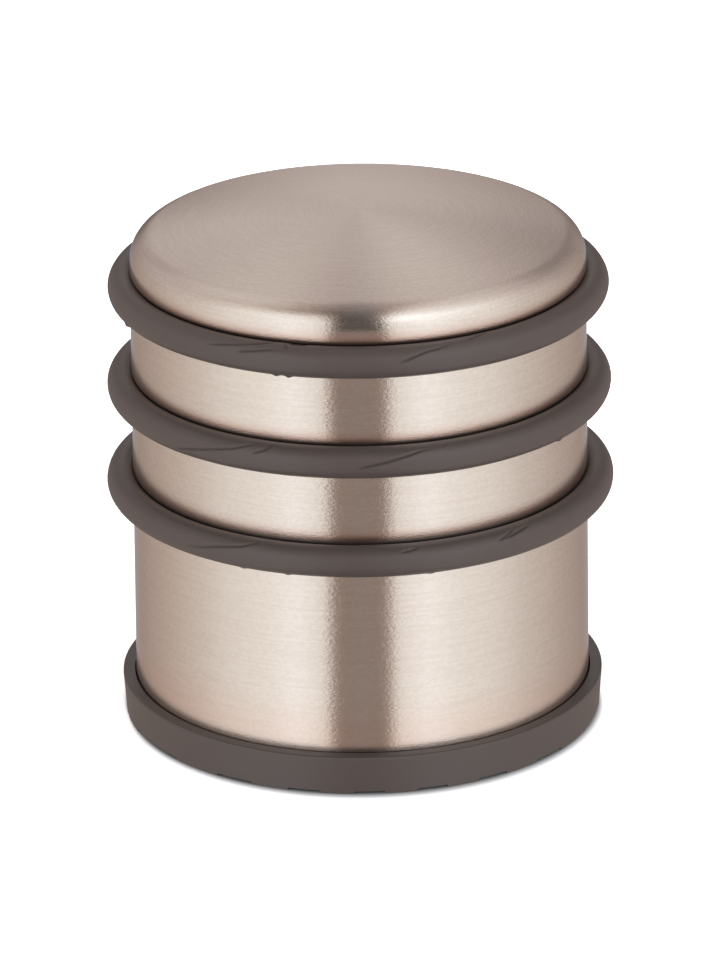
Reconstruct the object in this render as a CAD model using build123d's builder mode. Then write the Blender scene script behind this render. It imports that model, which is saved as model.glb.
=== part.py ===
from build123d import *
import os
from math import ceil, cos, radians, sqrt, tan

# Weighted floor door stop, standing upright, in millimetres.
# The origin is the centre of the base on the floor, +Z is up, and the tread ribs run along Y.

# Steel cover: one deep-drawn cap of thin sheet, open at its foot
sheet = 0.6
foot_radius = 39.2
wall_draft = 0.35
cover_height = 86.3
crown_radius = 158.0
shoulder_radius = 4.6
lip_bend = 0.4

# Cord rings in the rolled grooves, counted from the bottom. The lowest cord's centre stands
# cord_rise outside the wall, and each groove above is rolled deeper by groove_deepening.
cord_diameter = 5.5
cord_rise = 1.75
groove_deepening = 0.32
seat_gap = 0.05
ring_pitch = 17.45
shoulder_to_ring = 4.55
ring_names = ("lower_ring", "middle_ring", "upper_ring")

# Ballast, cast into the cover up to its foot
cast_gap = 0.05

# Base pad: a moulded dish with a recess for the cover's foot and a ribbed tread
pad_floor = 3.7
recess_depth = 3.1
foot_fit = 0.25
ledge_width = 2.05
ledge_round = 0.4
side_draft = 4.0
rib_width = 5.6
rib_pitch = 10.8
tread_depth = 0.45

# Sizes that follow from those above
foot_z = pad_floor
crown_z = foot_z + cover_height
crown_centre_z = crown_z - crown_radius
draft_slope = tan(radians(wall_draft))
recess_radius = foot_radius + foot_fit
pad_radius = recess_radius + ledge_width
pad_height = pad_floor + recess_depth
tread_radius = pad_radius - pad_height * tan(radians(side_draft))


def wall_radius(z):
    # Outside radius of the drafted wall at a height
    return foot_radius - (z - foot_z) * draft_slope


def shoulder_height():
    # Height of the shoulder bend's centre: one bend radius inside both the wall and the crown
    reach = crown_radius - shoulder_radius
    start = wall_radius(crown_centre_z) - shoulder_radius / cos(radians(wall_draft))
    lean = 1 + draft_slope**2
    along = start * draft_slope
    return crown_centre_z + (along + sqrt(along**2 - lean * (start**2 - reach**2))) / lean


upper_ring_z = shoulder_height() - shoulder_to_ring
ring_heights = [upper_ring_z - ring_pitch * step for step in (2, 1, 0)]
ring_centres = [
    (wall_radius(z) + cord_rise - groove_deepening * number, z)
    for number, z in enumerate(ring_heights)
]


def cover_section(inset):
    # Half section of everything inside the cover's outer skin, moved inwards by the inset
    side = inset / cos(radians(wall_draft))
    with BuildSketch() as section:
        with BuildLine():
            Polyline(
                (0, foot_z),
                (wall_radius(foot_z) - side, foot_z),
                (wall_radius(crown_z) - side, crown_z),
                (0, crown_z),
                close=True,
            )
        make_face()
        with Locations((0, crown_centre_z)):
            Circle(crown_radius - inset, mode=Mode.INTERSECT)
        corner = section.vertices().sort_by_distance((wall_radius(crown_z), crown_z))[0]
        fillet(corner, shoulder_radius - inset)
        with Locations(*ring_centres):
            Circle(cord_diameter / 2 + seat_gap + inset, mode=Mode.SUBTRACT)
        fillet(section.vertices(Select.LAST), lip_bend + sheet - inset)
    return section.sketch_local


outer_skin = cover_section(0)
inner_skin = cover_section(sheet)
cast_skin = cover_section(sheet + cast_gap)

os.makedirs("parts", exist_ok=True)

# Steel cover
with BuildPart() as steel_cover:
    with BuildSketch(Plane.XZ):
        add(outer_skin)
        add(inner_skin, mode=Mode.SUBTRACT)
    revolve(axis=Axis.Z)
steel_cover.part.label = "steel_cover"
export_step(steel_cover.part, "parts/steel_cover.step")

# Ballast core, keyed to the cover by the three grooves
with BuildPart() as ballast_core:
    with BuildSketch(Plane.XZ):
        add(cast_skin)
    revolve(axis=Axis.Z)
ballast_core.part.label = "ballast_core"
export_step(ballast_core.part, "parts/ballast_core.step")

# Cord rings, stretched over the cover into their grooves
for ring_name, ring_centre in zip(ring_names, ring_centres):
    with BuildPart() as ring:
        with BuildSketch(Plane.XZ):
            with Locations(ring_centre):
                Circle(cord_diameter / 2)
        revolve(axis=Axis.Z)
    ring.part.label = ring_name
    export_step(ring.part, f"parts/{ring_name}.step")

# Base pad, its side drafted down to a smaller tread
with BuildPart() as base_pad:
    with BuildSketch(Plane.XZ) as dish:
        with BuildLine():
            Polyline(
                (0, 0),
                (tread_radius, 0),
                (pad_radius, pad_height),
                (recess_radius, pad_height),
                (recess_radius, pad_floor),
                (0, pad_floor),
                close=True,
            )
        make_face()
        rim = dish.vertices().sort_by_distance((pad_radius, pad_height))[0]
        fillet(rim, ledge_round)
    revolve(axis=Axis.Z)
    groove_count = 2 * ceil(tread_radius / rib_pitch)
    with BuildSketch(Plane.XY):
        with GridLocations(rib_pitch, 0, groove_count, 1):
            Rectangle(rib_pitch - rib_width, 2 * pad_radius)
    extrude(amount=tread_depth, mode=Mode.SUBTRACT)
base_pad.part.label = "base_pad"
export_step(base_pad.part, "parts/base_pad.step")
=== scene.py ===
"""Looks of a weighted floor door stop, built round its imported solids.

The stop is a drum of brushed steel sheet, held by three rubber cord rings and a ribbed rubber
base pad, with cast concrete inside. Lengths are in metres and angles in degrees. The origin is
on the floor under the drum's axis, +Z is up and the pad's tread ribs run along Y. A turn round
the axis is counted from -Y, to the right as seen from there.
"""

import logging
from collections.abc import Sequence
from dataclasses import dataclass, field
from enum import Enum
from math import atan2, cos, degrees, hypot, pi, radians, sin, sqrt, tan
from typing import Any, Union

import bpy
from mathutils import Matrix, Vector

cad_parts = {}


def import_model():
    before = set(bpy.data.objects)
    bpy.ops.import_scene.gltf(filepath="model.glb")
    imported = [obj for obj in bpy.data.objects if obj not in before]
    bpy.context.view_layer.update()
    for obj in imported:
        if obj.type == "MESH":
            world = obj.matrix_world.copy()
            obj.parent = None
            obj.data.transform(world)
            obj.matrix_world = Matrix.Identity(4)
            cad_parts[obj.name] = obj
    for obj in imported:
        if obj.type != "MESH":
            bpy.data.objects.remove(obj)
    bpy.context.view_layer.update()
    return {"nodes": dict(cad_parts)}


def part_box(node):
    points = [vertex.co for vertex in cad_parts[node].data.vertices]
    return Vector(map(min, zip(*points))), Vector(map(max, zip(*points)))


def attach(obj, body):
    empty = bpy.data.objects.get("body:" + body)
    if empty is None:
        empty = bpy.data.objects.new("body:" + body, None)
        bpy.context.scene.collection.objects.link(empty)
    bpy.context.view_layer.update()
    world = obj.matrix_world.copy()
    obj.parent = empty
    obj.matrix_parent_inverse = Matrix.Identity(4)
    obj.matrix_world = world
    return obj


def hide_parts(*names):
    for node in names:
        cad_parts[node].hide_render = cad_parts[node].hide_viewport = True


LOG = logging.getLogger("door_stop")
BODY = "root"
MM = 0.001
MICRON = 0.000001
FULL_TURN = 360.0

# Attributes of a cord's marks and skin
# The crease mark is where creases and dents lie, for the rubber's painted shade in them
CREASE_SHADE_MARK = "crease"
NICK_MARK = "nick"
DEPTH_MARK = "depth"

# How far a cord's section points crowd outwards, how wide and high its skin swells beside a crease
# of width and depth 1, and how finely it waves
OUTWARD_CROWDING = 0.45
SWELLING_WIDTH = 3.5
SWELLING_HEIGHT = 0.3
WAVES_IN_A_METRE = 75.0

Colour = tuple[float, float, float]
Pair = tuple[float, float]
Outline = list[Pair]
Edges = Sequence[tuple[int, int]]
Stops = Sequence[Pair]


class Slot(Enum):
    """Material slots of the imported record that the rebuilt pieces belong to."""

    COVER = "cover_steel"
    RING = "ring_rubber"


class Cord(Enum):
    """The three cord rings, by the solid that each stands for."""

    UPPER = "upper_ring"
    MIDDLE = "middle_ring"
    LOWER = "lower_ring"


class Signal:
    """A number on its way through a node tree, which Python's own operators work on."""

    def __init__(self, board: "NodeBoard", socket: bpy.types.NodeSocket) -> None:
        """Keeps the board that new nodes go on and the output that carries the number."""
        self.board = board
        self.socket = socket

    def math(self, operation: str, *feeds: "Feed") -> "Signal":
        """The result of a Math node with these inputs."""
        return self.board.math(operation, *feeds)

    def __add__(self, other: "Feed") -> "Signal":
        """This number plus another."""
        return self.math("ADD", self, other)

    def __radd__(self, other: "Feed") -> "Signal":
        """Another number plus this one."""
        return self.math("ADD", other, self)

    def __sub__(self, other: "Feed") -> "Signal":
        """This number less another."""
        return self.math("SUBTRACT", self, other)

    def __rsub__(self, other: "Feed") -> "Signal":
        """Another number less this one."""
        return self.math("SUBTRACT", other, self)

    def __mul__(self, other: "Feed") -> "Signal":
        """This number times another."""
        return self.math("MULTIPLY", self, other)

    def __rmul__(self, other: "Feed") -> "Signal":
        """Another number times this one."""
        return self.math("MULTIPLY", other, self)

    def __truediv__(self, other: "Feed") -> "Signal":
        """This number divided by another."""
        return self.math("DIVIDE", self, other)

    def __rtruediv__(self, other: "Feed") -> "Signal":
        """Another number divided by this one."""
        return self.math("DIVIDE", other, self)

    def hill(self, width: "Feed") -> "Signal":
        """A bell, 1 high where this distance is 0 and down to 37 % where it reaches the width."""
        share = self / width
        return self.math("EXPONENT", -1.0 * share * share)

    def step(self, start: "Feed", end: "Feed") -> "Signal":
        """A soft step, 0 where this number is at the start and 1 where it reaches the end."""
        feeds = {"Value": self, "From Min": start, "From Max": end}
        return self.board.signal(self.board.add("ShaderNodeMapRange", feeds, interpolation_type="SMOOTHSTEP"))


Feed = Union[float, int, bool, str, Sequence[float], Signal, bpy.types.NodeSocket, bpy.types.ID]
Feeds = dict[Union[str, int], Feed]


class NodeBoard:
    """Adds nodes to a tree and joins them, in shader, world and geometry trees alike."""

    def __init__(self, tree: bpy.types.NodeTree) -> None:
        """Takes a tree and clears the nodes that it came with."""
        tree.nodes.clear()
        self.tree = tree

    def add(self, kind: str, feeds: Feeds | None = None, **options: Any) -> bpy.types.Node:
        """Adds a node.

        Args:
            kind: The node's type.
            feeds: What goes into its inputs, by name or number: outputs to link or values to set.
            options: The node's own settings.

        Returns:
            The new node.
        """
        node = self.tree.nodes.new(kind)
        for name, value in options.items():
            setattr(node, name, value)
        for place, feed in (feeds or {}).items():
            self.feed(node.inputs[place], feed)
        return node

    def feed(self, socket: bpy.types.NodeSocket, feed: Feed) -> None:
        """Links an output to a socket, or sets the socket's value.

        Args:
            socket: The input.
            feed: What goes into it.
        """
        source = feed.socket if isinstance(feed, Signal) else feed
        if isinstance(source, bpy.types.NodeSocket):
            self.tree.links.new(source, socket)
        else:
            socket.default_value = source

    def signal(self, node: bpy.types.Node, output: Union[str, int] = 0) -> Signal:
        """One output of a node as a signal."""
        return Signal(self, node.outputs[output])

    def math(self, operation: str, *feeds: Feed) -> Signal:
        """A Math node's result."""
        return self.signal(self.add("ShaderNodeMath", dict(enumerate(feeds)), operation=operation))

    def combine(self, x: Feed, y: Feed, z: Feed) -> bpy.types.NodeSocket:
        """A vector from its three parts."""
        return self.add("ShaderNodeCombineXYZ", {"X": x, "Y": y, "Z": z}).outputs["Vector"]

    def split(self, vector: Feed) -> tuple[Signal, Signal, Signal]:
        """The three parts of a vector."""
        node = self.add("ShaderNodeSeparateXYZ", {"Vector": vector})
        return self.signal(node, "X"), self.signal(node, "Y"), self.signal(node, "Z")

    def noise(self, vector: Feed, scale: Feed = 1.0, detail: float = 2.0, roughness: float = 0.5) -> Signal:
        """Soft noise between 0 and 1 at a place, with its cells in a unit length and its finer layers."""
        feeds = {"Vector": vector, "Scale": scale, "Detail": detail, "Roughness": roughness}
        return self.signal(self.add("ShaderNodeTexNoise", feeds))

    def blend(self, share: Feed, first: Feed, second: Feed) -> bpy.types.NodeSocket:
        """Mixes two colours.

        Args:
            share: The second colour's share, from 0 to 1.
            first: The first colour.
            second: The second colour.

        Returns:
            The mixed colour.
        """
        node = self.tree.nodes.new("ShaderNodeMix")
        node.data_type = "RGBA"
        factor, start, end = (s for s in node.inputs if s.enabled)
        for socket, feed in ((factor, share), (start, first), (end, second)):
            self.feed(socket, with_alpha(feed))
        return next(s for s in node.outputs if s.enabled)


def with_alpha(feed: Feed) -> Feed:
    """A three-part colour with its alpha, and anything else as it is."""
    return (*feed, 1.0) if isinstance(feed, tuple) and len(feed) == 3 else feed


class Effect:
    """A shader node group, built once and placed in each material with its own values."""

    def __init__(self, name: str, takes: dict[str, str], gives: Sequence[str]) -> None:
        """Makes the group and its sockets.

        Args:
            name: The group's name.
            takes: Its inputs, name to socket type.
            gives: The names of the values that it puts out.
        """
        self.tree = bpy.data.node_groups.new(name, "ShaderNodeTree")
        self.board = NodeBoard(self.tree)
        for label, kind in takes.items():
            self.tree.interface.new_socket(label, in_out="INPUT", socket_type=kind)
        for label in gives:
            self.tree.interface.new_socket(label, in_out="OUTPUT", socket_type="NodeSocketFloat")
        self.start = self.board.add("NodeGroupInput")

    def taken(self, name: str) -> Signal:
        """One of the group's inputs."""
        return self.board.signal(self.start, name)

    def give(self, results: dict[str, Feed]) -> None:
        """Joins the group's outputs to its results."""
        self.board.add("NodeGroupOutput", results)

    def place(self, board: NodeBoard, feeds: Feeds) -> Signal:
        """The first output of the group, placed on a material's board with values of its own."""
        return board.signal(board.add("ShaderNodeGroup", feeds, node_tree=self.tree))


def brush_lines() -> Effect:
    """Marks of a brush that ran round the axis: long round the drum, and fine across it.

    Returns:
        The effect, which gives noise between 0 and 1.
    """
    takes = {"Position": "NodeSocketVector", "Strokes": "NodeSocketFloat", "Fineness": "NodeSocketFloat"}
    effect = Effect("brush_lines", takes, ["Lines"])
    board = effect.board
    x, y, z = board.split(effect.taken("Position"))
    axis_distance = board.math("SQRT", x * x + y * y)
    beside_axis = board.math("MAXIMUM", axis_distance, MICRON)
    strokes = effect.taken("Strokes")
    across = (z - axis_distance) * effect.taken("Fineness")
    stretched = board.combine(x / beside_axis * strokes, y / beside_axis * strokes, across)
    effect.give({"Lines": board.noise(stretched, detail=2.0, roughness=0.6)})
    return effect


def fine_grain() -> Effect:
    """Fine even grain of a moulded or cast skin.

    Returns:
        The effect, which gives noise between 0 and 1.
    """
    takes = {"Position": "NodeSocketVector", "Grain Size": "NodeSocketFloat"}
    effect = Effect("fine_grain", takes, ["Grain"])
    board = effect.board
    scale = 1.0 / board.math("MAXIMUM", effect.taken("Grain Size"), MICRON)
    effect.give({"Grain": board.noise(effect.taken("Position"), scale, detail=3.0, roughness=0.65)})
    return effect


@dataclass(frozen=True)
class Effects:
    """The shared effects of all materials."""

    brush: Effect = field(default_factory=brush_lines)
    grain: Effect = field(default_factory=fine_grain)


class SurfaceBoard(NodeBoard):
    """The board of one material, with its Principled shader in place."""

    def __init__(self, name: str, fixed: dict[str, Feed]) -> None:
        """Makes the material.

        Args:
            name: The material's name.
            fixed: Shader values that are the same all over the surface.
        """
        self.material = bpy.data.materials.new(name)
        self.material.use_nodes = True
        super().__init__(self.material.node_tree)
        self.shader = self.add("ShaderNodeBsdfPrincipled", fixed)
        self.add("ShaderNodeOutputMaterial", {"Surface": self.shader.outputs["BSDF"]})
        self.position = self.add("ShaderNodeTexCoord").outputs["Object"]

    def vary(self, colour: Feed, roughness: Feed, height: Feed) -> bpy.types.Material:
        """Joins what changes over the surface to the shader.

        Args:
            colour: The base colour.
            roughness: The roughness.
            height: The surface's fine relief, in metres.

        Returns:
            The finished material.
        """
        bump = self.add("ShaderNodeBump", {"Strength": 1.0, "Distance": 1.0, "Height": height})
        self.feed(self.shader.inputs["Base Color"], colour)
        self.feed(self.shader.inputs["Roughness"], roughness)
        self.feed(self.shader.inputs["Normal"], bump.outputs["Normal"])
        return self.material


@dataclass(frozen=True)
class BrushedSteel:
    """Stainless sheet, brushed round its axis, with a painted warm reflection of the rubber just above each
    cord, painted shade in the groove beside each cord, and a warmer tint towards the foot.

    Each kind of mark has its strokes round the drum, and how fine it is across them.
    """

    bright: Colour = (0.757, 0.673, 0.597)
    dull: Colour = (0.703, 0.619, 0.545)
    # Warm tint: painted reflection of the rubber on the wall just above each cord; it also makes the wall
    # warmer towards the foot
    warm_tint: Colour = (0.725, 0.53, 0.445)
    cord_reflection_rise: float = 3.1 * MM
    cord_reflection_width: float = 1.2 * MM
    # Painted shade, dark and neutral, in the groove where the wall bends in beside each cord
    groove_shade: Colour = (0.42, 0.41, 0.39)
    groove_shade_reach: Pair = (2.3 * MM, 3.1 * MM)
    foot_warmth: float = 0.4
    foot_reach: Pair = (9 * MM, 18 * MM)
    roughness: float = 0.215
    roughness_spread: float = 0.04
    stretch: float = 0.845
    long_marks: Pair = (3.5, 2200.0)
    fine_marks: Pair = (50.0, 1700.0)
    grain_marks: Pair = (60.0, 4200.0)
    long_share: float = 0.45
    line_edges: Pair = (0.36, 0.64)
    long_relief: float = 2.5 * MICRON
    fine_relief: float = 6 * MICRON
    grain_relief: float = 22 * MICRON
    full_relief: float = 38 * MM

    def build(self, effects: Effects, cord_heights: Sequence[float]) -> bpy.types.Material:
        """The material.

        Args:
            effects: The shared effects.
            cord_heights: How high each cord's centre lies.

        Returns:
            The finished material.
        """
        fixed = {"Metallic": 1.0, "Anisotropic": self.stretch, "Anisotropic Rotation": 0.25}
        board = SurfaceBoard("brushed_steel", fixed)
        tangent = board.add("ShaderNodeTangent", direction_type="RADIAL", axis="Z")
        board.feed(board.shader.inputs["Tangent"], tangent.outputs["Tangent"])
        long, fine, grain = (
            effects.brush.place(board, {"Position": board.position, "Strokes": strokes, "Fineness": fineness})
            for strokes, fineness in (self.long_marks, self.fine_marks, self.grain_marks)
        )
        lines = (self.long_share * long + (1.0 - self.long_share) * fine).step(*self.line_edges)
        brushed = board.blend(lines, self.dull, self.bright)
        x, y, z = board.split(board.position)
        # Share of the warm tint: warmer towards the foot, and a painted reflection of the rubber above each
        # cord
        warmth = self.foot_warmth * (1.0 - z.step(*self.foot_reach))
        groove_shading = 0.0
        for height in cord_heights:
            cord_reflection = (z - (height + self.cord_reflection_rise)).hill(self.cord_reflection_width)
            warmth = board.math("MAXIMUM", warmth, cord_reflection)
            # Painted shade in the groove beside this cord
            beside_cord = 1.0 - board.math("ABSOLUTE", z - height).step(*self.groove_shade_reach)
            groove_shading = board.math("MAXIMUM", groove_shading, beside_cord)
        colour = board.blend(groove_shading, board.blend(warmth, brushed, self.warm_tint), self.groove_shade)
        roughness = self.roughness + self.roughness_spread * (fine - 0.5)
        out = board.math("MINIMUM", board.math("SQRT", x * x + y * y) / self.full_relief, 1.0)
        relief = self.long_relief * long + self.fine_relief * fine + self.grain_relief * grain
        return board.vary(colour, roughness, out * relief)


@dataclass(frozen=True)
class Rubber:
    """Moulded or extruded rubber with a matt, slightly uneven skin, and painted shade in its creases and
    dents and on faces that look upwards.
    """

    name: str
    light: Colour = (0.135, 0.105, 0.094)
    dark: Colour = (0.105, 0.081, 0.071)
    # Painted shade in the creases and dents of a cord's skin
    fold: Colour = (0.052, 0.038, 0.032)
    # Painted shade on faces that look upwards: the tops of the cords under the cover and the pad's ledge
    shade: Colour = (0.042, 0.038, 0.035)
    top_shade: float = 0.38
    top_lean: Pair = (0.5, 1.0)
    patch_share: float = 0.7
    roughness: float = 0.42
    roughness_spread: float = 0.14
    grain_size: float = 0.35 * MM
    grain_relief: float = 6 * MICRON
    patch_size: float = 9 * MM

    def build(self, effects: Effects) -> bpy.types.Material:
        """The material.

        Args:
            effects: The shared effects.

        Returns:
            The finished material.
        """
        board = SurfaceBoard(self.name, {"Specular IOR Level": 0.5, "IOR": 1.5})
        grain = effects.grain.place(board, {"Position": board.position, "Grain Size": self.grain_size})
        patches = effects.grain.place(board, {"Position": board.position, "Grain Size": self.patch_size})
        mottle = self.patch_share * patches + (1.0 - self.patch_share) * grain
        skin = board.blend(mottle, self.dark, self.light)
        # Painted shade in creases and dents, from the mark that the ring's recipe stores
        crease_shade_mask = board.add("ShaderNodeAttribute", attribute_type="GEOMETRY", attribute_name=CREASE_SHADE_MARK)
        _, _, upwards = board.split(board.add("ShaderNodeNewGeometry").outputs["Normal"])
        # Painted shade on faces that look upwards
        shaded = board.blend(self.top_shade * upwards.step(*self.top_lean), skin, self.shade)
        colour = board.blend(board.signal(crease_shade_mask, "Fac"), shaded, self.fold)
        roughness = self.roughness + self.roughness_spread * (patches - 0.5)
        return board.vary(colour, roughness, self.grain_relief * grain)


@dataclass(frozen=True)
class CastConcrete:
    """Grey concrete with sand in it, which shows only where the cover is taken off."""

    sand: Colour = (0.42, 0.40, 0.37)
    cement: Colour = (0.30, 0.29, 0.28)
    sand_share: float = 0.5
    roughness: float = 0.85
    roughness_spread: float = 0.1
    sand_size: float = 1.2 * MM
    patch_size: float = 14 * MM
    relief: float = 40 * MICRON

    def build(self, effects: Effects) -> bpy.types.Material:
        """The material.

        Args:
            effects: The shared effects.

        Returns:
            The finished material.
        """
        board = SurfaceBoard("cast_concrete", {"Specular IOR Level": 0.3})
        sand = effects.grain.place(board, {"Position": board.position, "Grain Size": self.sand_size})
        patches = effects.grain.place(board, {"Position": board.position, "Grain Size": self.patch_size})
        mottle = self.sand_share * sand + (1.0 - self.sand_share) * patches
        colour = board.blend(mottle, self.cement, self.sand)
        roughness = self.roughness + self.roughness_spread * (sand - 0.5)
        return board.vary(colour, roughness, self.relief * sand)


class Recipe:
    """A geometry tree with named inputs, which turns a host object into a finished mesh."""

    def __init__(self, name: str, takes: dict[str, str]) -> None:
        """Makes the tree and its sockets.

        Args:
            name: The tree's name.
            takes: Its inputs besides the host's geometry, name to socket type.
        """
        self.tree = bpy.data.node_groups.new(name, "GeometryNodeTree")
        self.board = NodeBoard(self.tree)
        interface = self.tree.interface
        interface.new_socket("Geometry", in_out="INPUT", socket_type="NodeSocketGeometry")
        interface.new_socket("Geometry", in_out="OUTPUT", socket_type="NodeSocketGeometry")
        self.identifiers = {}
        for label, kind in takes.items():
            item = interface.new_socket(label, in_out="INPUT", socket_type=kind)
            self.identifiers[label] = item.identifier
        self.start = self.board.add("NodeGroupInput")

    def taken(self, name: str) -> Signal:
        """One of the tree's inputs."""
        return self.board.signal(self.start, name)

    def grid(self, round_count: Signal, across_count: Signal) -> tuple[bpy.types.NodeSocket, Signal, Signal]:
        """A sheet of faces that is about to be bent into shape.

        Args:
            round_count: How many vertices it has one way.
            across_count: How many it has the other way.

        Returns:
            The sheet, and each vertex's number either way.
        """
        board = self.board
        sheet = board.add("GeometryNodeMeshGrid", {"Vertices X": round_count, "Vertices Y": across_count})
        index = board.signal(board.add("GeometryNodeInputIndex"))
        row = board.math("FLOOR", (index + 0.5) / across_count)
        return sheet.outputs["Mesh"], row, index - row * across_count

    def close(self, bent: bpy.types.NodeSocket, material: Signal) -> None:
        """Closes the seams of the bent sheet and dresses it.

        Args:
            bent: The bent sheet.
            material: Its material.
        """
        board = self.board
        merged = board.add("GeometryNodeMergeByDistance", {"Geometry": bent, "Distance": MICRON})
        smooth = board.add("GeometryNodeSetShadeSmooth", {"Geometry": merged.outputs[0]})
        real = board.add("GeometryNodeRealizeInstances", {"Geometry": smooth.outputs[0]})
        dressed = board.add("GeometryNodeSetMaterial", {"Geometry": real.outputs[0], "Material": material})
        board.add("NodeGroupOutput", {"Geometry": dressed.outputs[0]})

    def run(self, host: bpy.types.Object, values: dict[str, Any]) -> bpy.types.Object:
        """Runs the tree on an object and leaves the object with the mesh that comes out.

        Args:
            host: The object, whose mesh goes in.
            values: The tree's inputs by name.

        Returns:
            The same object.
        """
        modifier = host.modifiers.new(self.tree.name, "NODES")
        modifier.node_group = self.tree
        for name, value in values.items():
            modifier[self.identifiers[name]] = value
        shown = host.evaluated_get(bpy.context.evaluated_depsgraph_get())
        made = bpy.data.meshes.new_from_object(shown)
        host.modifiers.remove(modifier)
        host.data = made
        made.name = host.name
        return host


def placed(name: str, data: bpy.types.ID) -> bpy.types.Object:
    """Links an object to the scene that shows a mesh or a camera.

    Args:
        name: The object's name.
        data: The mesh or the camera.

    Returns:
        The object.
    """
    made = bpy.data.objects.new(name, data)
    bpy.context.scene.collection.objects.link(made)
    return made


def host_object(name: str, points: Sequence[Sequence[float]], edges: Edges) -> bpy.types.Object:
    """An object that holds only points and lines, for a recipe to work on.

    Args:
        name: The finished piece's name.
        points: The points.
        edges: The lines between them.

    Returns:
        The object, linked to the scene.
    """
    mesh = bpy.data.meshes.new(name)
    mesh.from_pydata([tuple(p) for p in points], list(edges), [])
    return placed(name, mesh)


def turned_sheet() -> Recipe:
    """Turns an outline once round the Z axis.

    Returns:
        The recipe. Its host holds the outline's points, in order, in the XZ plane.
    """
    takes = {"Sides": "NodeSocketInt", "Material": "NodeSocketMaterial"}
    recipe = Recipe("turned_sheet", takes)
    board = recipe.board
    outline = recipe.taken("Geometry")
    sides = recipe.taken("Sides")
    size = board.add("GeometryNodeAttributeDomainSize", {"Geometry": outline})
    sheet, side, place = recipe.grid(sides + 1, board.signal(size, "Point Count"))
    position = board.add("GeometryNodeInputPosition").outputs["Position"]
    feeds = {"Geometry": outline, "Value": position, "Index": place}
    sample = board.add("GeometryNodeSampleIndex", feeds, data_type="FLOAT_VECTOR")
    angle = side / sides * (-2.0 * pi)
    feeds = {"Vector": sample.outputs["Value"], "Angle": angle}
    turned = board.add("ShaderNodeVectorRotate", feeds, rotation_type="Z_AXIS")
    bent = board.add("GeometryNodeSetPosition", {"Geometry": sheet, "Position": turned.outputs["Vector"]})
    recipe.close(bent.outputs["Geometry"], recipe.taken("Material"))
    return recipe


def creased_ring() -> Recipe:
    """Bends a round cord into a ring and presses creases and nicks into its skin.

    Returns:
        The recipe. Its host holds the lines of the creases and the points of the nicks.
    """
    lengths = (
        "Ring Radius", "Cord Radius", "Height", "Crease Depth", "Crease Width", "Nick Width", "Waviness",
    )
    takes = {"Sides": "NodeSocketInt", "Section Points": "NodeSocketInt", "Seed": "NodeSocketFloat"}
    takes |= {name: "NodeSocketFloat" for name in lengths}
    takes["Material"] = "NodeSocketMaterial"
    recipe = Recipe("creased_ring", takes)
    board = recipe.board
    sides, section_points = recipe.taken("Sides"), recipe.taken("Section Points")
    sheet, side, place = recipe.grid(sides + 1, section_points + 1)
    turn = side / sides * (2.0 * pi)
    even = place / section_points * (2.0 * pi)
    lean = even - OUTWARD_CROWDING * board.math("SINE", even)
    outwards, upwards = board.math("COSINE", lean), board.math("SINE", lean)
    towards_x, towards_y = board.math("COSINE", turn), board.math("SINE", turn)

    def skin(radius: Signal) -> bpy.types.NodeSocket:
        """A point of the skin at a radius of the cord."""
        reach = recipe.taken("Ring Radius") + radius * outwards
        return board.combine(reach * towards_x, reach * towards_y, recipe.taken("Height") + radius * upwards)

    plain = skin(recipe.taken("Cord Radius"))
    marked = board.add("GeometryNodeInputNamedAttribute", {"Name": NICK_MARK}, data_type="BOOLEAN")
    feeds = {"Geometry": recipe.taken("Geometry"), "Selection": marked.outputs["Attribute"]}
    marks = board.add("GeometryNodeSeparateGeometry", feeds, domain="POINT")
    feeds = {"Geometry": marks.outputs["Inverted"], "Sample Position": plain}
    crease_lines = board.add("GeometryNodeProximity", feeds, target_element="EDGES")
    feeds = {"Geometry": marks.outputs["Selection"], "Sample Position": plain}
    nick_points = board.add("GeometryNodeProximity", feeds, target_element="POINTS")
    to_crease, to_nick = board.signal(crease_lines, "Distance"), board.signal(nick_points, "Distance")
    crease_width = recipe.taken("Crease Width")
    crease = to_crease.hill(crease_width) * board.signal(crease_lines, "Is Valid")
    swelling = to_crease.hill(crease_width * SWELLING_WIDTH) * board.signal(crease_lines, "Is Valid")
    nick = to_nick.hill(recipe.taken("Nick Width")) * board.signal(nick_points, "Is Valid")
    nearest = board.add("GeometryNodeSampleNearest", feeds, domain="POINT")
    depths = board.add("GeometryNodeInputNamedAttribute", {"Name": DEPTH_MARK}, data_type="FLOAT")
    feeds = {
        "Geometry": marks.outputs["Selection"],
        "Value": depths.outputs["Attribute"],
        "Index": nearest.outputs["Index"],
    }
    depth = board.signal(board.add("GeometryNodeSampleIndex", feeds, data_type="FLOAT", domain="POINT"))
    feeds = {0: plain, 1: board.combine(0.0, 0.0, recipe.taken("Seed"))}
    shifted = board.add("ShaderNodeVectorMath", feeds, operation="ADD")
    wave = board.noise(shifted.outputs["Vector"], WAVES_IN_A_METRE, detail=3.0) - 0.5
    fold = recipe.taken("Crease Depth") * (SWELLING_HEIGHT * swelling - crease)
    relief = recipe.taken("Waviness") * wave + fold - depth * nick
    feeds = {"Geometry": sheet, "Position": skin(recipe.taken("Cord Radius") + relief)}
    bent = board.add("GeometryNodeSetPosition", feeds)
    # Where creases and dents lie, stored for their painted shade; specks of flash stand off the skin and get
    # none
    crease_and_dent_shade = board.math("MAXIMUM", crease, nick * board.math("SIGN", depth))
    feeds = {"Geometry": bent.outputs["Geometry"], "Name": CREASE_SHADE_MARK, "Value": crease_and_dent_shade}
    stored = board.add("GeometryNodeStoreNamedAttribute", feeds, data_type="FLOAT", domain="POINT")
    recipe.close(stored.outputs["Geometry"], recipe.taken("Material"))
    return recipe


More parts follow.
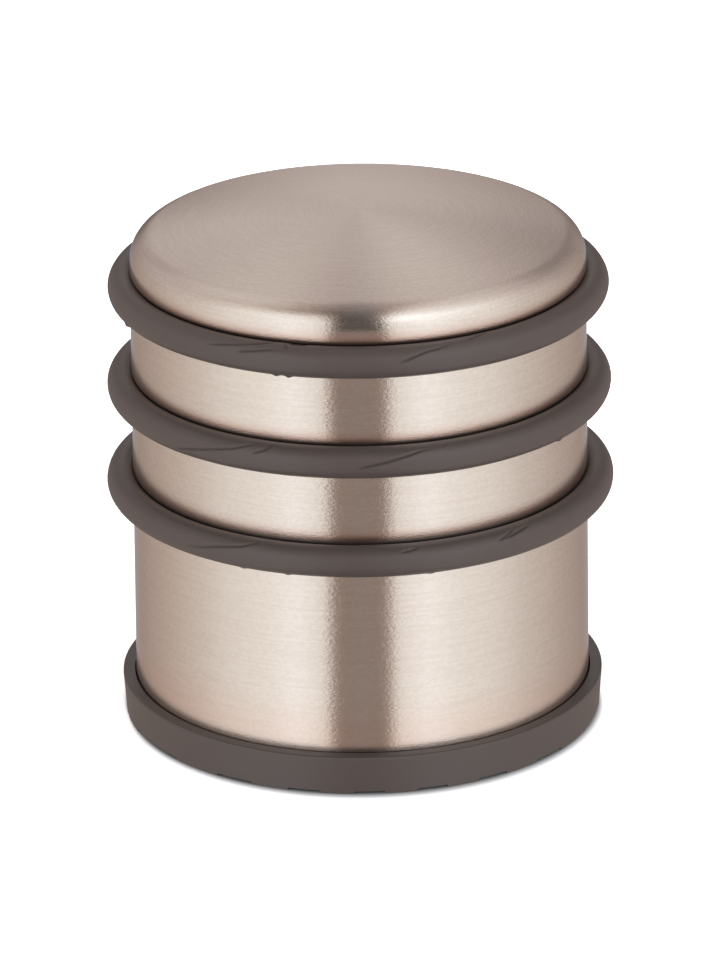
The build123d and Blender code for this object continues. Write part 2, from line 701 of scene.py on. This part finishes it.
def arc(centre: Pair, radius: float, start: float, end: float, step: float) -> Outline:
    """Points along an arc of an outline.

    Args:
        centre: The arc's centre, as distance from the axis and height.
        radius: Its radius.
        start: Its first direction, counted from outwards towards up.
        end: Its last direction.
        step: The most that it turns from one point to the next.

    Returns:
        The points, both ends included.
    """
    count = max(1, round(abs(end - start) / step))
    turns = [radians(start + (end - start) * i / count) for i in range(count + 1)]
    return [(centre[0] + radius * cos(a), centre[1] + radius * sin(a)) for a in turns]


def held_flat(outline: Outline, margin: float, margins_in_long_run: float = 12.0) -> Outline:
    """Adds points near both ends of each long straight run, so that its shading stays flat.

    Args:
        outline: The outline's points.
        margin: How far the new points lie from the ends.
        margins_in_long_run: How many margins long a run has to be.

    Returns:
        The outline with the new points.
    """
    made = outline[:1]
    for (r0, z0), (r1, z1) in zip(outline, outline[1:]):
        length = hypot(r1 - r0, z1 - z0)
        if length > margins_in_long_run * margin:
            for share in (margin / length, 1 / 3, 2 / 3, 1 - margin / length):
                made.append((r0 + (r1 - r0) * share, z0 + (z1 - z0) * share))
        made.append((r1, z1))
    return made


def standing(piece: bpy.types.Object, node: str, slot: Slot) -> None:
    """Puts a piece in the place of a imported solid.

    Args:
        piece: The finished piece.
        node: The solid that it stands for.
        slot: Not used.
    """
    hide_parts(node)
    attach(piece, BODY)


def report(piece: bpy.types.Object) -> None:
    """Logs a piece's name and size."""
    triangles = sum(len(p.vertices) - 2 for p in piece.data.polygons)
    LOG.info("%s: %d triangles, %s mm", piece.name, triangles, [round(d / MM, 2) for d in piece.dimensions])


@dataclass
class SteelCover:
    """The deep-drawn cap of brushed sheet, with a rolled groove under each cord."""

    node: str = "steel_cover"
    sheet: float = 0.6 * MM
    wall_draft: float = 0.35
    crown_radius: float = 158 * MM
    shoulder_radius: float = 4.6 * MM
    lip_bend: float = 0.4 * MM
    seat_gap: float = 0.05 * MM
    flat_margin: float = 0.12 * MM
    sides: int = 360
    outer_fineness: float = 3.0
    inner_fineness: float = 0.8
    shoulder_coarseness: float = 12.0
    groove_coarseness: float = 18.0
    sharp_angle: float = 50.0

    def __post_init__(self) -> None:
        """Takes the foot's radius and the cover's height from the frame."""
        lowest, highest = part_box(self.node)
        self.foot_radius = highest.x
        self.foot_z = lowest.z
        self.crown_z = highest.z
        self.slope = tan(radians(self.wall_draft))
        self.crown_centre_z = self.crown_z - self.crown_radius

    def wall_radius(self, z: float) -> float:
        """Outside radius of the drafted wall at a height."""
        return self.foot_radius - (z - self.foot_z) * self.slope

    def shoulder_centre(self) -> Pair:
        """Centre of the shoulder's bend, one bend radius inside both the wall and the crown.

        Returns:
            Its distance from the axis and its height.
        """
        reach = self.crown_radius - self.shoulder_radius
        start = self.wall_radius(self.crown_centre_z) - self.shoulder_radius / cos(radians(self.wall_draft))
        lean = 1 + self.slope**2
        along = start * self.slope
        z = self.crown_centre_z + (along + sqrt(along**2 - lean * (start**2 - reach**2))) / lean
        return start - (z - self.crown_centre_z) * self.slope, z

    def groove(self, cord: Cord, inset: float, step: float) -> Outline:
        """One rolled groove with its two lips, from the top down.

        Args:
            cord: The cord that sits in it.
            inset: How far this skin lies inside the outer one.
            step: The most that a bend turns from one point to the next.

        Returns:
            The groove's part of the outline.
        """
        lowest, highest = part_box(cord.value)
        cord_radius, height = (highest.z - lowest.z) / 2, (highest.z + lowest.z) / 2
        hollow = cord_radius + self.seat_gap + inset
        lip = self.lip_bend + self.sheet - inset
        draft = radians(self.wall_draft)
        outwards, upwards = Vector((cos(draft), sin(draft))), Vector((-sin(draft), cos(draft)))
        centre = Vector((highest.x - cord_radius, height))
        inwards = (centre.x - self.wall_radius(height)) * cos(draft) + inset + lip
        along = sqrt((hollow + lip) ** 2 - inwards**2)
        bend = degrees(atan2(along, inwards))
        upper = centre - outwards * inwards + upwards * along
        lower = centre - outwards * inwards - upwards * along
        points = arc(tuple(upper), lip, self.wall_draft, self.wall_draft - bend, step)
        half = FULL_TURN / 2 + self.wall_draft
        points += arc(tuple(centre), hollow, half - bend, half + bend, step)[1:-1]
        return points + arc(tuple(lower), lip, self.wall_draft + bend, self.wall_draft, step)

    def skin(self, inset: float, fineness: float) -> Outline:
        """Outline of one skin from the pole down to the foot.

        Args:
            inset: How far this skin lies inside the outer one.
            fineness: The crown's points for each of its degrees. Tighter bends are coarser.

        Returns:
            The outline's points.
        """
        shoulder = self.shoulder_centre()
        lean = degrees(atan2(shoulder[1] - self.crown_centre_z, shoulder[0]))
        crown, bend = self.crown_radius - inset, self.shoulder_radius - inset
        points = arc((0.0, self.crown_centre_z), crown, FULL_TURN / 4, lean, 1 / fineness)
        points += arc(shoulder, bend, lean, self.wall_draft, self.shoulder_coarseness / fineness)[1:]
        for cord in Cord:
            points += self.groove(cord, inset, self.groove_coarseness / fineness)
        foot = self.wall_radius(self.foot_z) - inset / cos(radians(self.wall_draft))
        return points + [(foot, self.foot_z)]

    def build(self, recipe: Recipe, material: bpy.types.Material) -> bpy.types.Object:
        """Turns the cover and puts it in its solid's place.

        Args:
            recipe: The recipe that turns an outline.
            material: The cover's finish.

        Returns:
            The finished piece.
        """
        outside = held_flat(self.skin(0.0, self.outer_fineness), self.flat_margin)
        outline = outside + self.skin(self.sheet, self.inner_fineness)[::-1]
        outline[0] = (0.0, outline[0][1])
        outline[-1] = (0.0, outline[-1][1])
        points = [(r, 0.0, z) for r, z in outline]
        host = host_object("brushed_cover", points, [(i, i + 1) for i in range(len(points) - 1)])
        cover = recipe.run(host, {"Sides": self.sides, "Material": material})
        cover.data.set_sharp_from_angle(angle=radians(self.sharp_angle))
        standing(cover, self.node, Slot.COVER)
        report(cover)
        return cover


@dataclass(frozen=True)
class Crease:
    """A fold line in a cord's skin, as (turn round the drum, lean round the cord) at its points."""

    points: tuple[Pair, ...]
    fade: float = 0.5 * MM


@dataclass(frozen=True)
class Nick:
    """A small dent in a cord's skin, or with a depth below 0 a speck of flash that stands off it."""

    turn: float
    lean: float
    depth: float


@dataclass
class CordRing:
    """A round rubber cord, stretched over the cover into its groove."""

    cord: Cord
    creases: tuple[Crease, ...] = ()
    nicks: tuple[Nick, ...] = ()
    seed: float = 0.0
    crease_depth: float = 0.22 * MM
    crease_width: float = 0.24 * MM
    nick_width: float = 0.5 * MM
    waviness: float = 0.12 * MM
    shrink: float = 0.06 * MM
    crease_step: float = 1.5
    sides: int = 800
    section_points: int = 120

    def __post_init__(self) -> None:
        """Takes the ring's place and sizes from the frame."""
        lowest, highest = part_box(self.cord.value)
        self.cord_radius = (highest.z - lowest.z) / 2
        self.height = (highest.z + lowest.z) / 2
        self.ring_radius = highest.x - self.cord_radius

    def on_skin(self, turn: float, lean: float, lift: float = 0.0) -> Vector:
        """A point on the cord's skin.

        Args:
            turn: The turn round the drum.
            lean: The turn round the cord, from outwards towards up.
            lift: How far the point stands off the skin.

        Returns:
            The point.
        """
        radius = self.cord_radius - self.shrink + lift
        reach = self.ring_radius + radius * cos(radians(lean))
        x, y = reach * sin(radians(turn)), -reach * cos(radians(turn))
        return Vector((x, y, self.height + radius * sin(radians(lean))))

    def marks(self) -> bpy.types.Object:
        """The lines of the creases and the points of the nicks.

        Returns:
            The object that holds them, with the nicks marked.
        """
        points, edges = [], []
        for crease in self.creases:
            first = len(points)
            for (turn0, lean0), (turn1, lean1) in zip(crease.points, crease.points[1:]):
                count = max(2, round(hypot(turn1 - turn0, lean1 - lean0) / self.crease_step))
                shares = [i / count for i in range(count)]
                points += [(turn0 + (turn1 - turn0) * s, lean0 + (lean1 - lean0) * s) for s in shares]
            points.append(crease.points[-1])
            last = len(points) - 1
            edges += [(i, i + 1) for i in range(first, last)]
            shares = [(i - first) / (last - first) for i in range(first, last + 1)]
            lifts = [crease.fade * abs(2 * share - 1) ** 4 for share in shares]
            places = zip(points[first:], lifts)
            points[first:] = [self.on_skin(turn, lean, lift) for (turn, lean), lift in places]
        marked = len(points)
        points += [self.on_skin(nick.turn, nick.lean) for nick in self.nicks]
        host = host_object(self.cord.value.replace("_ring", "_cord"), points, edges)
        mark = host.data.attributes.new(NICK_MARK, "BOOLEAN", "POINT")
        mark.data.foreach_set("value", [i >= marked for i in range(len(points))])
        depth = host.data.attributes.new(DEPTH_MARK, "FLOAT", "POINT")
        depth.data.foreach_set("value", [0.0] * marked + [nick.depth for nick in self.nicks])
        return host

    def build(self, recipe: Recipe, material: bpy.types.Material) -> bpy.types.Object:
        """Makes the ring and puts it in its solid's place.

        Args:
            recipe: The recipe that bends the cord.
            material: The cord's finish.

        Returns:
            The finished piece.
        """
        values = {
            "Sides": self.sides,
            "Section Points": self.section_points,
            "Seed": self.seed,
            "Ring Radius": self.ring_radius,
            "Cord Radius": self.cord_radius - self.shrink,
            "Height": self.height,
            "Crease Depth": self.crease_depth,
            "Crease Width": self.crease_width,
            "Nick Width": self.nick_width,
            "Waviness": self.waviness,
            "Material": material,
        }
        ring = recipe.run(self.marks(), values)
        standing(ring, self.cord.value, Slot.RING)
        report(ring)
        return ring


@dataclass
class DressedSolid:
    """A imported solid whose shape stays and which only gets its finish."""

    node: str

    def build(self, solids: dict[str, bpy.types.Object], material: bpy.types.Material) -> None:
        """Puts the finish on every material slot of the solid.

        Args:
            solids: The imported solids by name.
            material: The finish.
        """
        solid = solids[self.node]
        for place in solid.material_slots:
            place.material = material
        report(solid)


@dataclass(frozen=True)
class Patch:
    """A soft round patch of the studio's walls that gives more or less light than the rest."""

    towards: tuple[float, float, float]
    gain: float
    spread: float = 0.09


@dataclass(frozen=True)
class StudioLight:
    """Two tall soft boxes, left and right of a dark flag above the camera, in a half-lit room.

    Directions are counted from the camera's side: x to its right, y away from it and z up. Pairs
    of numbers are where a soft step along x, y, z or the level starts and where it ends.
    """

    camera_turn: float = -9.0
    brightest: float = 1.5
    boxes: Stops = (
        (0, 1.13), (18, 1.06), (34, 1.24), (50, 1.09), (64, 1.0), (76, 0.92),
        (90, 0.78), (120, 0.57), (150, 0.41), (165, 0.50), (173, 0.75), (180, 1.2),
    )
    boxes_top: Pair = (0.54, 0.86)
    overhead: float = 0.72
    flag: Stops = (
        (-1.0, 0.05), (-0.35, 0.40), (0.0, 0.04), (0.3, 0.12), (0.6, 0.08), (0.85, 0.14), (1.0, 0.41),
    )
    flag_aside: float = -0.009
    flag_half_width: float = 0.231
    flag_taper: float = 0.034
    flag_edge: float = 0.014
    flag_edge_overhead: float = 0.11
    edge_rise: Pair = (0.5, 1.0)
    flag_back: Pair = (-0.04, 0.65)
    flag_core: Pair = (0.04, 0.20)
    core_low: float = 0.25
    core_rise: Pair = (-0.3, 0.1)
    flag_rim: float = 0.6
    flag_rim_inset: float = 0.04
    flag_rim_width: float = 0.05
    beam_aside: float = -0.012
    beam_shade: float = 0.44
    beam_half_width: float = 0.07
    beam_back: Pair = (-0.2, 0.2)
    beam_rise: Pair = (0.05, 0.4)
    patches: tuple[Patch, ...] = (
        Patch((-0.55, 0.62, 0.55), 0.09),
        Patch((0.55, 0.62, 0.55), -0.14),
        Patch((-0.55, -0.50, 0.66), 0.18),
        Patch((0.55, -0.50, 0.66), 0.33),
        Patch((0.0, 0.87, 0.50), 0.14),
        Patch((0.0, 0.25, 0.97), 0.13),
        Patch((-0.02, 1.0, -0.08), -0.66, 0.042),
        Patch((0.0, 0.90, 0.42), -0.24, 0.07),
        Patch((0.09, 0.83, 0.53), 0.10, 0.02),
        Patch((-0.17, 0.92, 0.35), 0.10, 0.025),
        Patch((0.17, 0.90, 0.40), -0.16, 0.018),
        Patch((-0.30, -0.30, 0.90), -0.48, 0.03),
        Patch((0.22, -0.72, 0.66), 0.62, 0.03),
        Patch((-0.71, 0.0, 0.71), -0.10, 0.06),
    )
    sky_rise: Pair = (-0.1, 0.3)
    sky_back: Pair = (-0.3, 0.4)
    cool_side: float = 0.45
    cool_side_from: Pair = (0.2, 0.9)
    behind_back: Pair = (0.84, 0.93)
    behind_fall: Pair = (-0.2, 0.0)
    lit_levels: Pair = (0.3, 1.15)
    glare_levels: Pair = (1.02, 1.42)
    warm_shade: Colour = (1.0, 0.815, 0.73)
    cool_shade: Colour = (1.0, 0.88, 0.86)
    back_shade: Colour = (0.95, 0.93, 1.0)
    core_shade: Colour = (1.0, 0.93, 0.97)
    rim_shade: Colour = (1.0, 0.76, 0.67)
    glare: Colour = (1.0, 1.05, 1.12)
    bright: Colour = (1.0, 1.0, 1.0)

    def ramp(self, board: NodeBoard, place: Signal, stops: Stops) -> Signal:
        """A level that changes with a place between 0 and 1.

        Args:
            board: The world's board.
            place: The place.
            stops: The level at each named place, in order.

        Returns:
            The level.
        """
        node = board.add("ShaderNodeValToRGB", {"Fac": place})
        elements = node.color_ramp.elements
        while len(elements) < len(stops):
            elements.new(0.5)
        for element, (at, level) in zip(elements, stops):
            element.position = at
            element.color = (*[level / self.brightest] * 3, 1.0)
        return board.signal(node, "Color") * self.brightest

    def room(self, board: NodeBoard, direction: bpy.types.NodeSocket) -> Signal:
        """The level of the soft boxes and the walls, without the flag.

        Args:
            board: The world's board.
            direction: Where the light comes from.

        Returns:
            The level.
        """
        x, y, z = board.split(direction)
        turn = board.math("ARCTAN2", board.math("ABSOLUTE", x), -1.0 * y) / pi
        boxes = self.ramp(board, turn, [(at / (FULL_TURN / 2), level) for at, level in self.boxes])
        level = boxes + z.step(*self.boxes_top) * (self.overhead - boxes)
        for patch in self.patches:
            feeds = {0: direction, 1: Vector(patch.towards).normalized()}
            along = board.signal(board.add("ShaderNodeVectorMath", feeds, operation="DOT_PRODUCT"), "Value")
            level = level + patch.gain * board.math("EXPONENT", (along - 1.0) / patch.spread)
        beam = (x - self.beam_aside).hill(self.beam_half_width)
        beam = beam * y.step(*self.beam_back) * z.step(*self.beam_rise)
        return level * (1.0 - self.beam_shade * beam)

    def build(self) -> None:
        """Draws the studio on the world, and plain white behind it for the camera."""
        world = bpy.data.worlds.new("studio_light")
        world.use_nodes = True
        board = NodeBoard(world.node_tree)
        outwards = board.add("ShaderNodeTexCoord").outputs["Generated"]
        feeds = {"Vector": outwards, "Angle": radians(-self.camera_turn)}
        direction = board.add("ShaderNodeVectorRotate", feeds, rotation_type="Z_AXIS").outputs["Vector"]
        x, y, z = board.split(direction)
        flag = self.ramp(board, z * 0.5 + 0.5, [(0.5 + 0.5 * at, level) for at, level in self.flag])
        aside = board.math("ABSOLUTE", x - self.flag_aside)
        edge = self.flag_edge + self.flag_edge_overhead * z.step(*self.edge_rise)
        border = self.flag_half_width - self.flag_taper * z
        beside = aside.step(border - edge, border + edge)
        front = 1.0 - y.step(*self.flag_back)
        clear = board.math("MAXIMUM", beside, 1.0 - front)
        level = self.room(board, direction) * (flag + (1.0 - flag) * clear)
        sky = z.step(*self.sky_rise) * y.step(*self.sky_back)
        cool = board.math("MAXIMUM", sky, self.cool_side * x.step(*self.cool_side_from))
        height = self.core_low + (1.0 - self.core_low) * z.step(*self.core_rise)
        core = front * (1.0 - aside.step(*self.flag_core)) * height
        shade = board.blend(core, board.blend(cool, self.warm_shade, self.cool_shade), self.core_shade)
        rim = self.flag_rim * front * (aside - border + self.flag_rim_inset).hill(self.flag_rim_width)
        lit = board.blend(level.step(*self.lit_levels), shade, self.bright)
        lit = board.blend(rim, lit, self.rim_shade)
        behind = y.step(*self.behind_back) * (1.0 - z.step(*self.behind_fall))
        lit = board.blend(behind, lit, self.back_shade)
        colour = board.blend(level.step(*self.glare_levels), lit, self.glare)
        studio = board.add("ShaderNodeBackground", {"Color": colour, "Strength": level})
        backdrop = board.add("ShaderNodeBackground", {"Color": with_alpha(self.bright), "Strength": 1.0})
        seen = board.add("ShaderNodeLightPath").outputs["Is Camera Ray"]
        feeds = {0: seen, 1: studio.outputs["Background"], 2: backdrop.outputs["Background"]}
        mixed = board.add("ShaderNodeMixShader", feeds)
        board.add("ShaderNodeOutputWorld", {"Surface": mixed.outputs["Shader"]})
        bpy.context.scene.world = world


@dataclass(frozen=True)
class PaleFloor:
    """A wide floor, plain white to the camera but for a soft painted contact shadow round the pad."""

    half_width: float = 6.0
    drop: float = 0.05 * MM
    paint: float = 0.86
    tint: Colour = (0.97, 1.0, 1.02)
    painted_shadow_gain: float = 0.5
    open_gain: float = 3.2
    shade_start: float = 40.6 * MM
    shade_reach: float = 3.7 * MM
    shade_beside: float = 0.2

    def build(self) -> None:
        """Lays the floor just under the tread, out of the steel's reflections."""
        w = self.half_width
        mesh = bpy.data.meshes.new("floor")
        corners = [(x, y, -self.drop) for x, y in ((-w, -w), (w, -w), (w, w), (-w, w))]
        mesh.from_pydata(corners, [], [(0, 1, 2, 3)])
        floor = placed("floor", mesh)
        material = bpy.data.materials.new("pale_floor")
        material.use_nodes = True
        board = NodeBoard(material.node_tree)
        seen = board.signal(board.add("ShaderNodeLightPath"), "Is Camera Ray")
        x, y, _ = board.split(board.add("ShaderNodeTexCoord").outputs["Object"])
        radius = board.math("MAXIMUM", board.math("SQRT", x * x + y * y), MICRON)
        # Painted contact shadow: darker paint for the camera within a few millimetres of the pad, reaching
        # less far to the sides than to the front and back
        before = board.math("ABSOLUTE", y) / radius
        reach = self.shade_reach * (self.shade_beside + (1.0 - self.shade_beside) * before)
        out = ((radius - self.shade_start) / reach).step(0.0, 1.0)
        gain = self.painted_shadow_gain + (self.open_gain - self.painted_shadow_gain) * out
        level = self.paint * (1.0 + (gain - 1.0) * seen)
        colour = board.combine(*(share * level for share in self.tint))
        paint = board.add("ShaderNodeBsdfDiffuse", {"Color": colour})
        board.add("ShaderNodeOutputMaterial", {"Surface": paint.outputs["BSDF"]})
        mesh.materials.append(material)
        floor.visible_glossy = False


@dataclass(frozen=True)
class ProductCamera:
    """A long lens that looks down on the stop from the front."""

    turn: float = -9.0
    elevation: float = 21.38
    roll: float = -0.68
    distance: float = 1191.3 * MM
    aim: Pair = (-0.08 * MM, 40.66 * MM)
    lens: float = 347.06
    sensor: float = 36.0
    near: float = 10 * MM

    def build(self) -> None:
        """Makes the camera and sets it as the scene's."""
        rise = radians(self.elevation)
        back = Vector((0.0, -cos(rise), sin(rise)))
        right, up = Vector((1.0, 0.0, 0.0)), Vector((0.0, sin(rise), cos(rise)))
        lean = radians(self.roll)
        right, up = cos(lean) * right + sin(lean) * up, cos(lean) * up - sin(lean) * right
        axes = Matrix((right, up, back)).transposed()
        around = Matrix.Rotation(radians(self.turn), 3, "Z")
        aside, height = self.aim
        place = Matrix.Translation(around @ (back * self.distance + Vector((aside, 0.0, height))))
        data = bpy.data.cameras.new("camera")
        data.sensor_fit = "HORIZONTAL"
        data.sensor_width = self.sensor
        data.lens = self.lens
        data.clip_start = self.near
        camera = placed("camera", data)
        camera.matrix_world = place @ (around @ axes).to_4x4()
        bpy.context.scene.camera = camera


def rings() -> list[CordRing]:
    """The three cord rings, each with the creases and nicks of its own skin.

    Returns:
        The rings from the top down.
    """
    upper = CordRing(
        Cord.UPPER,
        creases=(
            Crease(((-47, 27), (-39, 50), (-33, 69), (-28, 98))),
            Crease(((-38, 25), (-33, 40), (-29, 53), (-25, 52))),
            Crease(((-27, 98), (-26, 71), (-25.5, 54))),
            Crease(((-1, 8), (2, 23), (6, 45), (10, 56), (14, 67))),
            Crease(((16, 66), (19, 76), (24, 96))),
        ),
        nicks=(
            Nick(-24.6, 99, 0.6 * MM),
            Nick(-23.6, 101, 0.6 * MM),
            Nick(-22.6, 102, 0.5 * MM),
            Nick(-28.5, -66, -0.25 * MM),
            Nick(-25.5, -67, -0.3 * MM),
            Nick(-77, -42, -0.3 * MM),
        ),
        seed=0.1,
    )
    middle = CordRing(
        Cord.MIDDLE,
        creases=(
            Crease(((-57, -36), (-51, -12), (-44, 14), (-39, 32), (-36, 51), (-32, 74))),
            Crease(((-34, 25), (-31, 47), (-29, 75))),
            Crease(((-11, -10), (-7, 5), (-3, 19), (2, 40), (5, 53), (10, 56))),
        ),
        nicks=(Nick(44, -57, -0.25 * MM), Nick(80, -15, 0.15 * MM)),
        seed=0.2,
    )
    lower = CordRing(
        Cord.LOWER,
        creases=(
            Crease(((-55, -7), (-52, -7), (-47, 4), (-43, 21), (-37, 41), (-34, 60), (-32, 76))),
            Crease(((0, 48), (4, 61))),
            Crease(((23, 35), (26, 48), (28, 65))),
            Crease(((25, 37), (33, 63))),
        ),
        nicks=(Nick(-37, -65, -0.15 * MM), Nick(-26, -67, -0.18 * MM), Nick(7, -67, -0.14 * MM)),
        seed=0.3,
    )
    return [upper, middle, lower]


def main() -> None:
    """Builds every piece round the frame, then the studio and the camera, and notes the sizes."""
    logging.basicConfig(level=logging.INFO, format="%(message)s")
    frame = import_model()
    effects = Effects()
    cord_rubber = Rubber("cord_rubber").build(effects)
    cords = rings()
    steel = BrushedSteel().build(effects, [cord.height for cord in cords])
    SteelCover().build(turned_sheet(), steel)
    ring_recipe = creased_ring()
    for cord in cords:
        cord.build(ring_recipe, cord_rubber)
    DressedSolid("base_pad").build(frame["nodes"], Rubber("pad_rubber", top_shade=0.65).build(effects))
    DressedSolid("ballast_core").build(frame["nodes"], CastConcrete().build(effects))
    StudioLight().build()
    PaleFloor().build()
    ProductCamera().build()
    bpy.context.scene.view_settings.view_transform = "Standard"


if __name__ == "__main__":
    main()
